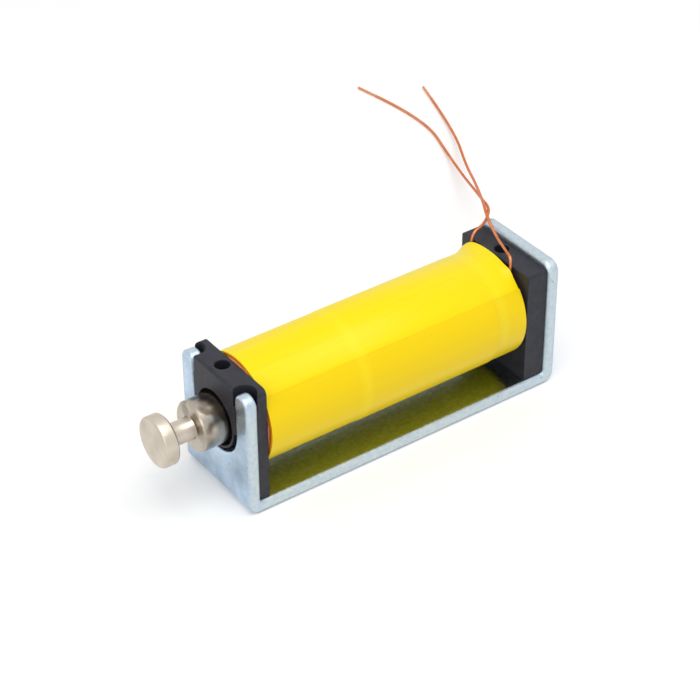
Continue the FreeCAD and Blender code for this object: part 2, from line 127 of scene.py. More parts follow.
def mixed(tree: bpy.types.NodeTree, share: bpy.types.NodeSocket,
          first: str | bpy.types.NodeSocket,
          second: str | bpy.types.NodeSocket) -> bpy.types.NodeSocket:
    """Adds a node that mixes two colours, each a hex colour or what another node gives.

    Args:
        tree: the node tree that takes it.
        share: the second colour's share, from 0 to 1.
        first: the colour at a share of 0.
        second: the colour at a share of 1.

    Returns:
        The mixed colour.
    """
    node = add_node(tree, "ShaderNodeMix", {"data_type": "RGBA"}, {SHARE: share})
    for place, colour in ((FIRST, first), (SECOND, second)):
        if isinstance(colour, str):
            node.inputs[place].default_value = linear(colour)
        else:
            tree.links.new(colour, node.inputs[place])
    return node.outputs[MIXED]


@dataclass(frozen=True)
class Finish:
    """What every finish has: a material of its own name and a Principled shader."""

    title: ClassVar[str] = "finish"

    def material(self) -> bpy.types.Material:
        """Finds this finish's material, or makes it the first time.

        Returns:
            The material, ready for a piece's slot.
        """
        found = bpy.data.materials.get(self.name())
        if found:
            return found
        made = bpy.data.materials.new(self.name())
        made.use_nodes = True
        tree = made.node_tree
        shader = next(node for node in tree.nodes if node.type == "BSDF_PRINCIPLED")
        place = add_node(tree, "ShaderNodeTexCoord").outputs["Object"]
        self.shade(tree, shader, place)
        return made

    def name(self) -> str:
        """Name of the material in Blender."""
        return self.title

    def shade(self, tree: bpy.types.NodeTree, shader: bpy.types.Node,
              place: bpy.types.NodeSocket) -> None:
        """Sets the shader up and feeds it. Each finish has its own.

        Args:
            tree: the material's node tree.
            shader: its Principled shader.
            place: Object coordinates, in metres.
        """
        raise NotImplementedError


def cycles(size_mm: float) -> float:
    """Texture scale, in cycles per metre, that gives a feature of the size asked for."""
    return 1.0 / (size_mm * MM)


@dataclass(frozen=True)
class BrightZincPlate(Finish):
    """Electroplated zinc, clear passivated, on cold-rolled strip.

    The plate is smooth and a little blue, with cloudy patches where the passivation is thicker,
    rolling lines under it and a few pits. The sheared edges and ends are paler and rougher,
    painted shade makes the plate greyer and darker inside the channel under the coil, and every
    edge is slightly rounded by tumbling. A dark line of painted shade runs along the lower edge
    of each long side, where it meets what the part stands on.
    """

    title: ClassVar[str] = "bright_zinc_plate"
    pale: str = "C8DDF2"
    deep: str = "99B0C5"
    passivated: str = "C3C9B9"
    sheared: str = "B2C6DA"
    worn: str = "D2D9D4"
    # Painted shade inside the channel, under the coil: a greyer, darker plate.
    channel_shade: str = "96A6B9"
    channel_shade_pale: str = "B3C4D7"
    # Colour of the pits, and of the painted shade along the foot of each long side.
    pit_and_foot_shade: str = "6F7980"
    cloud_mm: float = 3.2
    mottle_mm: float = 0.42
    pit_mm: float = 1.1
    rolling_mm: float = 0.08
    rolling_stretch: float = 30.0
    mottle_relief: float = 4.0
    edge_start_mm: float = 4.95
    edge_width_mm: float = 0.45
    end_start_mm: float = 12.6
    edge_roughness: float = 0.18
    edge_radius_mm: float = 0.4
    inner_start_mm: float = 0.9
    inner_length_mm: float = 16.7
    # Height of the painted shade along the foot of each long side.
    foot_shade_mm: float = 0.28
    foot_shade_core: float = 1 / 3

    def shade(self, tree: bpy.types.NodeTree, shader: bpy.types.Node,
              place: bpy.types.NodeSocket) -> None:
        """Clouds and mottle for colour and roughness, then what marks each side and edge.

        Args:
            tree: the material's node tree.
            shader: its Principled shader.
            place: Object coordinates, in metres.
        """
        clouds = add_node(tree, "ShaderNodeTexNoise",
                          {"Scale": cycles(self.cloud_mm), "Detail": 3.0, "Roughness": 0.55},
                          {"Vector": place})
        mottle = add_node(tree, "ShaderNodeTexNoise",
                          {"Scale": cycles(self.mottle_mm), "Detail": 4.0, "Roughness": 0.6},
                          {"Vector": place})
        spread = add_node(tree, "ShaderNodeMapRange", {"From Min": 0.35, "From Max": 0.65},
                          {"Value": clouds.outputs["Fac"]})
        plate = mixed(tree, spread.outputs[0], self.deep, self.pale)
        film = add_node(tree, "ShaderNodeMapRange",
                        {"From Min": 0.5, "From Max": 0.75, "To Max": 0.6},
                        {"Value": mottle.outputs["Fac"]})
        tinted = mixed(tree, film.outputs[0], plate, self.passivated)
        axes = add_node(tree, "ShaderNodeSeparateXYZ", links={0: place})
        aside = add_node(tree, "ShaderNodeMath", {"operation": "ABSOLUTE"}, {0: axes.outputs["Y"]})
        along = add_node(tree, "ShaderNodeMath", {"operation": "ABSOLUTE"}, {0: axes.outputs["X"]})
        # Painted shade: inside the channel, under the coil, the plate is made greyer and darker.
        inner = add_node(tree, "ShaderNodeMath",
                         {"operation": "LESS_THAN", 1: self.inner_length_mm * MM},
                         {0: along.outputs[0]})
        above = add_node(tree, "ShaderNodeMath",
                         {"operation": "GREATER_THAN", 1: self.inner_start_mm * MM},
                         {0: axes.outputs["Z"]})
        channel = add_node(tree, "ShaderNodeMath", {"operation": "MULTIPLY"},
                           {0: inner.outputs[0], 1: above.outputs[0]})
        speckle = add_node(tree, "ShaderNodeMapRange",
                           {"From Min": 0.38, "From Max": 0.62, "To Min": 0.15, "To Max": 0.75},
                           {"Value": mottle.outputs["Fac"]})
        channel_shade_grey = mixed(tree, speckle.outputs[0], self.channel_shade, self.channel_shade_pale)
        channel_shaded = mixed(tree, channel.outputs[0], tinted, channel_shade_grey)
        side = add_node(tree, "ShaderNodeMapRange",
                        {"From Min": self.edge_start_mm * MM,
                         "From Max": (self.edge_start_mm + self.edge_width_mm) * MM},
                        {"Value": aside.outputs[0]})
        top = add_node(tree, "ShaderNodeMapRange",
                       {"From Min": self.end_start_mm * MM,
                        "From Max": (self.end_start_mm + self.edge_width_mm) * MM},
                       {"Value": axes.outputs["Z"]})
        sheared = add_node(tree, "ShaderNodeMath", {"operation": "MAXIMUM"},
                           {0: side.outputs[0], 1: top.outputs[0]})
        rubbed = mixed(tree, speckle.outputs[0], self.sheared, self.worn)
        trimmed = mixed(tree, sheared.outputs[0], channel_shaded, rubbed)
        spots = add_node(tree, "ShaderNodeTexVoronoi", {"Scale": cycles(self.pit_mm)},
                         {"Vector": place})
        pit = add_node(tree, "ShaderNodeMapRange",
                       {"From Min": 0.12, "From Max": 0.06, "To Max": 0.6},
                       {"Value": spots.outputs["Distance"]})
        colour = mixed(tree, pit.outputs[0], trimmed, self.pit_and_foot_shade)
        # Painted shade: a dark line along the foot of each long side, where it meets the floor.
        foot = add_node(tree, "ShaderNodeMapRange",
                        {"From Min": self.foot_shade_mm * MM,
                         "From Max": self.foot_shade_mm * self.foot_shade_core * MM, "To Max": 0.85},
                        {"Value": axes.outputs["Z"]})
        painted_foot_shade = add_node(tree, "ShaderNodeMath", {"operation": "MULTIPLY"},
                          {0: foot.outputs[0], 1: side.outputs[0]})
        foot_shaded = mixed(tree, painted_foot_shade.outputs[0], colour, self.pit_and_foot_shade)
        smooth = add_node(tree, "ShaderNodeMapRange", {"To Min": 0.16, "To Max": 0.28},
                          {"Value": mottle.outputs["Fac"]})
        rough = add_node(tree, "ShaderNodeMath",
                         {"operation": "MULTIPLY_ADD", 1: self.edge_roughness},
                         {0: sheared.outputs[0], 2: smooth.outputs[0]})
        grain = add_node(tree, "ShaderNodeMapping",
                         {"Scale": (1.0 / self.rolling_stretch, 1.0, 1.0)}, {"Vector": place})
        lines = add_node(tree, "ShaderNodeTexNoise",
                         {"Scale": cycles(self.rolling_mm), "Detail": 2.0},
                         {"Vector": grain.outputs[0]})
        relief = add_node(tree, "ShaderNodeMath",
                          {"operation": "MULTIPLY_ADD", 1: self.mottle_relief},
                          {0: mottle.outputs["Fac"], 2: lines.outputs["Fac"]})
        rounded = add_node(tree, "ShaderNodeBevel", {"Radius": self.edge_radius_mm * MM})
        bump = add_node(tree, "ShaderNodeBump", {"Strength": 0.4, "Distance": 0.015 * MM},
                        {"Height": relief.outputs[0], "Normal": rounded.outputs[0]})
        set_up(tree, shader, {"Metallic": 1.0},
               {"Base Color": foot_shaded, "Roughness": rough.outputs[0], "Normal": bump.outputs[0]})


@dataclass(frozen=True)
class MouldedNylon(Finish):
    """Black glass-filled nylon, injection moulded.

    It is satin, with the fine grain of a spark-eroded mould and faint paler flow streaks.
    """

    title: ClassVar[str] = "moulded_black_nylon"
    dark: str = "16171D"
    streak: str = "34353F"
    flow_mm: float = 0.8
    grain_mm: float = 0.12
    edge_radius_mm: float = 0.15

    def shade(self, tree: bpy.types.NodeTree, shader: bpy.types.Node,
              place: bpy.types.NodeSocket) -> None:
        """Flow streaks for colour, and mould grain for roughness and bump.

        Args:
            tree: the material's node tree.
            shader: its Principled shader.
            place: Object coordinates, in metres.
        """
        flow = add_node(tree, "ShaderNodeTexNoise",
                        {"Scale": cycles(self.flow_mm), "Detail": 4.0, "Distortion": 0.6},
                        {"Vector": place})
        colour = mixed(tree, flow.outputs["Fac"], self.dark, self.streak)
        grain = add_node(tree, "ShaderNodeTexNoise",
                         {"Scale": cycles(self.grain_mm), "Detail": 2.0}, {"Vector": place})
        rough = add_node(tree, "ShaderNodeMapRange", {"To Min": 0.4, "To Max": 0.58},
                         {"Value": grain.outputs["Fac"]})
        rounded = add_node(tree, "ShaderNodeBevel", {"Radius": self.edge_radius_mm * MM})
        bump = add_node(tree, "ShaderNodeBump", {"Strength": 0.4, "Distance": 0.01 * MM},
                        {"Height": grain.outputs["Fac"], "Normal": rounded.outputs[0]})
        set_up(tree, shader, {"Specular IOR Level": 0.32},
               {"Base Color": colour, "Roughness": rough.outputs[0], "Normal": bump.outputs[0]})


class TapeLayer(Enum):
    """The pieces of tape from the inside out, each with its own hex colour."""

    WRAP = "FFE600"
    PATCH = "FADA00"
    LAP = "F8D700"


@dataclass(frozen=True)
class FilmTape(Finish):
    """Yellow polyester film with an acrylic adhesive, wound tight.

    The film is smooth and satin, streaked along the coil where it was drawn, and the wire's turns
    print through faintly. That print is drawn about six times coarser than the wire of 0.3 mm, so
    that it shows. The slit ends look orange, because the light comes out there through the
    adhesive, and the film is paler in two narrow bands, where it bridges the patch's ends below.
    """

    title: ClassVar[str] = "polyester_film_tape"
    layer: TapeLayer = TapeLayer.WRAP
    front_end_m: float = 0.0
    slit: str = "B8560C"
    doubled: str = "F0C400"
    slit_width_mm: float = 0.05
    print_mm: float = 1.885
    pull_mm: float = 1.4
    pull_stretch: float = 0.03
    pull_relief: float = 7.0
    bridged: str = "FFF230"
    band_middle_mm: float = 3.4
    band_half_mm: float = 8.1
    bridge_mm: float = 0.8
    bridge_core: float = 0.25

    def name(self) -> str:
        """Each layer has its own material."""
        return f"{self.title}_{self.layer.name.lower()}"

    def shade(self, tree: bpy.types.NodeTree, shader: bpy.types.Node,
              place: bpy.types.NodeSocket) -> None:
        """Drawn streaks, bridged bands and slit end for colour, and the turns' print for bump.

        Args:
            tree: the material's node tree.
            shader: its Principled shader.
            place: Object coordinates, in metres.
        """
        axes = add_node(tree, "ShaderNodeSeparateXYZ", links={0: place})
        stretch = add_node(tree, "ShaderNodeMapping", {"Scale": (self.pull_stretch, 1.0, 1.0)},
                           {"Vector": place})
        pull = add_node(tree, "ShaderNodeTexNoise",
                        {"Scale": cycles(self.pull_mm), "Detail": 6.0, "Roughness": 0.7},
                        {"Vector": stretch.outputs[0]})
        middle = add_node(tree, "ShaderNodeMath",
                          {"operation": "SUBTRACT", 1: self.band_middle_mm * MM},
                          {0: axes.outputs["X"]})
        out = add_node(tree, "ShaderNodeMath", {"operation": "ABSOLUTE"}, {0: middle.outputs[0]})
        beyond = add_node(tree, "ShaderNodeMath",
                          {"operation": "SUBTRACT", 1: self.band_half_mm * MM},
                          {0: out.outputs[0]})
        away = add_node(tree, "ShaderNodeMath", {"operation": "ABSOLUTE"}, {0: beyond.outputs[0]})
        bridge = add_node(tree, "ShaderNodeMapRange",
                          {"From Min": self.bridge_mm * MM,
                           "From Max": self.bridge_mm * self.bridge_core * MM, "To Max": 0.2},
                          {"Value": away.outputs[0]})
        streaks = add_node(tree, "ShaderNodeMapRange",
                           {"From Min": 0.35, "From Max": 0.65, "To Max": 0.2},
                           {"Value": pull.outputs["Fac"]})
        drawn = mixed(tree, streaks.outputs[0], self.layer.value, self.doubled)
        film = mixed(tree, bridge.outputs[0], drawn, self.bridged)
        inside = add_node(tree, "ShaderNodeMapRange",
                          {"From Min": self.front_end_m,
                           "From Max": self.front_end_m + self.slit_width_mm * MM},
                          {"Value": axes.outputs["X"]})
        colour = mixed(tree, inside.outputs[0], self.slit, film)
        gloss = add_node(tree, "ShaderNodeMapRange", {"To Min": 0.3, "To Max": 0.42},
                         {"Value": pull.outputs["Fac"]})
        turns = add_node(tree, "ShaderNodeTexWave",
                         {"wave_type": "BANDS", "bands_direction": "X",
                          "Scale": 2.0 * math.pi * cycles(self.print_mm) / WAVE_BAND_ANGLE,
                          "Distortion": 0.4},
                         {"Vector": place})
        relief = add_node(tree, "ShaderNodeMath",
                          {"operation": "MULTIPLY_ADD", 1: self.pull_relief},
                          {0: pull.outputs["Fac"], 2: turns.outputs["Fac"]})
        bump = add_node(tree, "ShaderNodeBump", {"Strength": 0.2, "Distance": 0.006 * MM},
                        {"Height": relief.outputs[0]})
        set_up(tree, shader, {"Specular IOR Level": 0.25},
               {"Base Color": colour, "Roughness": gloss.outputs[0], "Normal": bump.outputs[0]})


@dataclass(frozen=True)
class EnamelledCopper(Finish):
    """Drawn copper wire under a clear baked enamel: orange metal with a glassy skin."""

    title: ClassVar[str] = "enamelled_copper_wire"
    copper: str = "EDA478"
    dark: str = "BE6536"
    patch_mm: float = 1.2

    def shade(self, tree: bpy.types.NodeTree, shader: bpy.types.Node,
              place: bpy.types.NodeSocket) -> None:
        """The enamel's thickness varies, and it keeps the copper's colour at a grazing angle.

        Args:
            tree: the material's node tree.
            shader: its Principled shader.
            place: Object coordinates, in metres.
        """
        patches = add_node(tree, "ShaderNodeTexNoise",
                           {"Scale": cycles(self.patch_mm), "Detail": 2.0}, {"Vector": place})
        colour = mixed(tree, patches.outputs["Fac"], self.dark, self.copper)
        rough = add_node(tree, "ShaderNodeMapRange", {"To Min": 0.26, "To Max": 0.4},
                         {"Value": patches.outputs["Fac"]})
        set_up(tree, shader,
               {"Metallic": 0.85, "Specular Tint": linear(self.copper), "Coat Weight": 0.1,
                "Coat Roughness": 0.12},
               {"Base Color": colour, "Roughness": rough.outputs[0]})


class TurnedMetal(Enum):
    """The metals that are turned, ground or scraped, each with a pale and a deep hex colour."""

    NICKEL_PLATED_STEEL = ("DDD3C5", "B3A797")
    GROUND_STAINLESS = ("CFCFCE", "B4B4B3")
    PLATED_CORE_STEEL = ("CCCDCB", "AEB0AF")
    BRASS_SHIM = ("D9C084", "BFA363")
    SCRAPED_COPPER = ("E8A57C", "CE8558")


@dataclass(frozen=True)
class TurnedFinish(Finish):
    """A lathe-turned or ground metal surface.

    The tool leaves fine rings: round the barrel they follow the axis, on an end face the radius.
    The real feed is a few hundredths of a millimetre, drawn here several times coarser so that it
    shows. Past rub_start_mm along X the surface is polished by sliding in its bore and carries
    dark patches of painted reflection, which fade on the lower side to leave a painted sheen.
    """

    title: ClassVar[str] = "turned"
    metal: TurnedMetal = TurnedMetal.NICKEL_PLATED_STEEL
    axis_height_m: float = 0.0
    feed_mm: float = 0.16
    handling_mm: float = 1.4
    rough_low: float = 0.28
    rough_high: float = 0.42
    # Painted reflection: the colour of the dark patches on the rubbed length.
    rubbed: str = "685F54"
    rub_start_mm: float = 100.0
    rub_length_mm: float = 1.7
    reflection_height_mm: float = 1.8
    rub_polish: float = 0.13

    def name(self) -> str:
        """Each metal has its own material."""
        return f"{self.title}_{self.metal.name.lower()}"

    def shade(self, tree: bpy.types.NodeTree, shader: bpy.types.Node,
              place: bpy.types.NodeSocket) -> None:
        """Tool rings for bump, painted dark reflections on a cloudy plate, polish for roughness.

        Args:
            tree: the material's node tree.
            shader: its Principled shader.
            place: Object coordinates, in metres.
        """
        centred = add_node(tree, "ShaderNodeVectorMath",
                           {"operation": "SUBTRACT", 1: (0.0, 0.0, self.axis_height_m)}, {0: place})
        axes = add_node(tree, "ShaderNodeSeparateXYZ", links={0: centred.outputs[0]})
        radial = add_node(tree, "ShaderNodeCombineXYZ",
                          links={1: axes.outputs["Y"], 2: axes.outputs["Z"]})
        radius = add_node(tree, "ShaderNodeVectorMath", {"operation": "LENGTH"},
                          {0: radial.outputs[0]})
        travel = add_node(tree, "ShaderNodeMath", {"operation": "ADD"},
                          {0: axes.outputs["X"], 1: radius.outputs["Value"]})
        phase = add_node(tree, "ShaderNodeMath",
                         {"operation": "MULTIPLY", 1: 2.0 * math.pi * cycles(self.feed_mm)},
                         {0: travel.outputs[0]})
        rings = add_node(tree, "ShaderNodeMath", {"operation": "SINE"}, {0: phase.outputs[0]})
        handled = add_node(tree, "ShaderNodeTexNoise",
                           {"Scale": cycles(self.handling_mm), "Detail": 1.0, "Roughness": 0.5},
                           {"Vector": place})
        pale, deep = self.metal.value
        plate = mixed(tree, handled.outputs["Fac"], deep, pale)
        worn = add_node(tree, "ShaderNodeMapRange",
                        {"From Min": self.rub_start_mm * MM,
                         "From Max": (self.rub_start_mm + self.rub_length_mm) * MM},
                        {"Value": axes.outputs["X"]})
        cloudy = add_node(tree, "ShaderNodeMapRange",
                          {"From Min": 0.4, "From Max": 0.6, "To Min": 0.25, "To Max": 0.9},
                          {"Value": handled.outputs["Fac"]})
        # Painted reflection and sheen: dark patches stronger on top, fainter on the lower side.
        upper_reflection = add_node(tree, "ShaderNodeMapRange",
                         {"From Min": -self.reflection_height_mm * MM, "From Max": self.reflection_height_mm * MM,
                          "To Min": 0.45, "To Max": 1.2},
                         {"Value": axes.outputs["Z"]})
        reflection_patches = add_node(tree, "ShaderNodeMath", {"operation": "MULTIPLY"},
                          {0: worn.outputs[0], 1: cloudy.outputs[0]})
        painted_reflection = add_node(tree, "ShaderNodeMath", {"operation": "MULTIPLY", "use_clamp": True},
                         {0: reflection_patches.outputs[0], 1: upper_reflection.outputs[0]})
        colour = mixed(tree, painted_reflection.outputs[0], plate, self.rubbed)
        rough = add_node(tree, "ShaderNodeMapRange",
                         {"To Min": self.rough_low, "To Max": self.rough_high},
                         {"Value": handled.outputs["Fac"]})
        polished = add_node(tree, "ShaderNodeMath",
                            {"operation": "MULTIPLY_ADD", 1: -self.rub_polish},
                            {0: worn.outputs[0], 2: rough.outputs[0]})
        bump = add_node(tree, "ShaderNodeBump", {"Strength": 0.08, "Distance": 0.004 * MM},
                        {"Height": rings.outputs[0]})
        set_up(tree, shader, {"Metallic": 1.0},
               {"Base Color": colour, "Roughness": polished.outputs[0], "Normal": bump.outputs[0]})


@dataclass(frozen=True)
class StudioPaper(Finish):
    """Matt white background paper, which takes the part's shadow.

    The camera and the metal see it a little brighter than the lamps make it, so it is white.
    """

    title: ClassVar[str] = "studio_paper"
    white: str = "EDEDED"
    lift: float = 0.2
    fibre_mm: float = 0.5

    def shade(self, tree: bpy.types.NodeTree, shader: bpy.types.Node,
              place: bpy.types.NodeSocket) -> None:
        """A plain diffuse sheet with a fine tooth, and the lift for camera and glossy rays.

        Args:
            tree: the material's node tree.
            shader: its Principled shader.
            place: Object coordinates, in metres.
        """
        tooth = add_node(tree, "ShaderNodeTexNoise", {"Scale": cycles(self.fibre_mm)},
                         {"Vector": place})
        bump = add_node(tree, "ShaderNodeBump", {"Strength": 0.05, "Distance": 0.02 * MM},
                        {"Height": tooth.outputs["Fac"]})
        path = add_node(tree, "ShaderNodeLightPath")
        seen = add_node(tree, "ShaderNodeMath", {"operation": "MAXIMUM"},
                        {0: path.outputs["Is Camera Ray"], 1: path.outputs["Is Glossy Ray"]})
        lift = add_node(tree, "ShaderNodeMath", {"operation": "MULTIPLY", 1: self.lift},
                        {0: seen.outputs[0]})
        set_up(tree, shader,
               {"Base Color": linear(self.white), "Roughness": 0.9, "Specular IOR Level": 0.0,
                "Emission Color": WHITE},
               {"Emission Strength": lift.outputs[0], "Normal": bump.outputs[0]})


def dress(node: str, finish: Finish) -> None:
    """Gives a node of the frame its finish.

    Args:
        node: name of the node.
        finish: its finish.
    """
    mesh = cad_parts[node].data
    mesh.materials.clear()
    mesh.materials.append(finish.material())
    log.info("dressed %s in %s", node, finish.name())


def shaped_piece(name: str, bm: bmesh.types.BMesh, finish: Finish, ride: Ride,
                 stands_for: str) -> bpy.types.Object:
    """Turns a finished bmesh into a smooth piece that stands for a node of the frame.

    Args:
        name: name of the piece.
        bm: its shape, in the part's own axes. It is freed here.
        finish: its finish.
        ride: the body that carries it.
        stands_for: the node that it replaces.

    Returns:
        The new object, at the origin.
    """
    mesh = bpy.data.meshes.new(name)
    bm.to_mesh(mesh)
    bm.free()
    mesh.shade_smooth()
    mesh.set_sharp_from_angle(angle=SHARP_ANGLE)
    mesh.materials.append(finish.material())
    piece = bpy.data.objects.new(name, mesh)
    bpy.context.scene.collection.objects.link(piece)
    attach(piece, ride.value)
    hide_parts(stands_for)
    log.info("made %s, %d faces", name, len(mesh.polygons))
    return piece


@dataclass(frozen=True)
class CoilAxis:
    """The line that the coil, core and plunger share."""

    height: float

    @classmethod
    def of_frame(cls) -> "CoilAxis":
        """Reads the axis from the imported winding."""
        low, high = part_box("coil_winding")
        return cls((low[2] + high[2]) / 2)

    @property
    def point(self) -> Vector:
        """A point on the axis."""
        return Vector((0.0, 0.0, self.height))

    def spin(self, bm: bmesh.types.BMesh, outline: list[tuple[float, float]], steps: int,
             turn: float = 2 * math.pi, start: float = 0.0, closed: bool = True) -> None:
        """Turns an outline about the axis.

        Args:
            bm: the mesh that takes the turned surface.
            outline: stations along X and radii, in metres.
            steps: segments round the turn.
            turn: the angle turned, in radians.
            start: where it starts, as a turn from straight up towards -Y.
            closed: whether the outline's last point joins its first.
        """
        corners = [bm.verts.new((x, 0.0, self.height + radius)) for x, radius in outline]
        pairs = list(zip(corners, corners[1:]))
        if closed:
            pairs.append((corners[-1], corners[0]))
        edges = [bm.edges.new(pair) for pair in pairs]
        bmesh.ops.rotate(bm, cent=self.point, matrix=Matrix.Rotation(start, 3, "X"), verts=corners)
        full = math.isclose(turn, 2 * math.pi)
        bmesh.ops.spin(bm, geom=corners + edges, axis=(1.0, 0.0, 0.0), cent=self.point, angle=turn,
                       steps=steps, use_merge=full)


@dataclass(frozen=True)
class PlungerGroup:
    """Plunger and push rod: the moving pieces, all turned.

    The neck runs between two stations along X, and root_share says how full its corners are.
    """

    axis: CoilAxis
    neck_radius: float = 1.1 * MM
    neck_start: float = -23.2 * MM
    neck_end: float = -20.6 * MM
    rim_radius: float = 0.25 * MM
    shoulder_chamfer: float = 0.15 * MM
    root_radius: float = 0.2 * MM
    root_share: float = 0.3
    stop_gap: float = 0.01 * MM
    rub_start_mm: float = -21.7
    rim_steps: int = 6
    spin_steps: int = 128

    def build(self) -> None:
        """Turns the plunger, then dresses the rod."""
        self.turn_plunger()
        dress("push_rod", TurnedFinish(TurnedMetal.GROUND_STAINLESS, self.axis.height))

    def corner(self, x: float, radius: float, size: float,
               first: float) -> list[tuple[float, float]]:
        """A rounded corner of the outline.

        Args:
            x: the arc's centre along X.
            radius: the arc's centre's distance from the axis.
            size: the arc's own radius.
            first: the angle at which it starts, in degrees, from +X towards +Z.

        Returns:
            Points along a quarter turn, clockwise.
        """
        turns = [math.radians(first - 90 * step / self.rim_steps)
                 for step in range(self.rim_steps + 1)]
        return [(x + size * math.cos(turn), radius + size * math.sin(turn)) for turn in turns]

    def turn_plunger(self) -> bpy.types.Object:
        """One outline from the head's face to the rod's socket, turned about the axis.

        Returns:
            The plunger.
        """
        low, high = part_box("plunger")
        rod_low, rod_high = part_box("push_rod")
        head = (high[2] - low[2]) / 2
        rod = (rod_high[2] - rod_low[2]) / 2
        rim, root, cut = self.rim_radius, self.root_radius, self.shoulder_chamfer
        inset = root * self.root_share
        front, back = low[0], high[0] - self.stop_gap
        outline = [(front, 0.0)]
        outline += self.corner(front + rim, head - rim, rim, 180)
        outline += self.corner(self.neck_start - rim, head - rim, rim, 90)
        outline += [(self.neck_start, self.neck_radius + root),
                    (self.neck_start + inset, self.neck_radius + inset),
                    (self.neck_start + root, self.neck_radius),
                    (self.neck_end - root, self.neck_radius),
                    (self.neck_end - inset, self.neck_radius + inset),
                    (self.neck_end, self.neck_radius + root),
                    (self.neck_end, head - cut), (self.neck_end + cut, head),
                    (back - cut, head), (back, head - cut), (back, rod), (rod_low[0], rod),
                    (rod_low[0], 0.0)]
        bm = bmesh.new()
        self.axis.spin(bm, outline, self.spin_steps, closed=False)
        bmesh.ops.remove_doubles(bm, verts=bm.verts, dist=MERGE_DISTANCE)
        bmesh.ops.recalc_face_normals(bm, faces=bm.faces)
        return shaped_piece("turned_plunger", bm,
                            TurnedFinish(TurnedMetal.NICKEL_PLATED_STEEL, self.axis.height,
                                         rub_start_mm=self.rub_start_mm),
                            Ride.PLUNGER, "plunger")


@dataclass(frozen=True)
class Swelling:
    """A place at the rear end where the tape goes over the root of a lead.

    It stands up by its height at the end, and fades out over its reach along X and its width round
    the coil.
    """

    root: Vector
    height: float
    reach: float
    width: float

    def press(self, bm: bmesh.types.BMesh, axis: CoilAxis, rear: float, radius: float) -> None:
        """Pushes the tape out over the lead, most at its end.

        Args:
            bm: the tape's mesh.
            axis: the coil's axis.
            rear: the tape's rear end, along X.
            radius: the tape's radius.
        """
        root_turn = math.atan2(self.root.y, self.root.z - axis.height)
        for vert in bm.verts:
            arm = vert.co - axis.point
            along = min(max((vert.co.x - rear + self.reach) / self.reach, 0.0), 1.0)
            aside = (math.atan2(arm.y, arm.z) - root_turn) * radius / self.width
            push = self.height * along * along * (3 - 2 * along) * math.exp(-aside * aside)
            vert.co += Vector((0.0, arm.y, arm.z)).normalized() * push


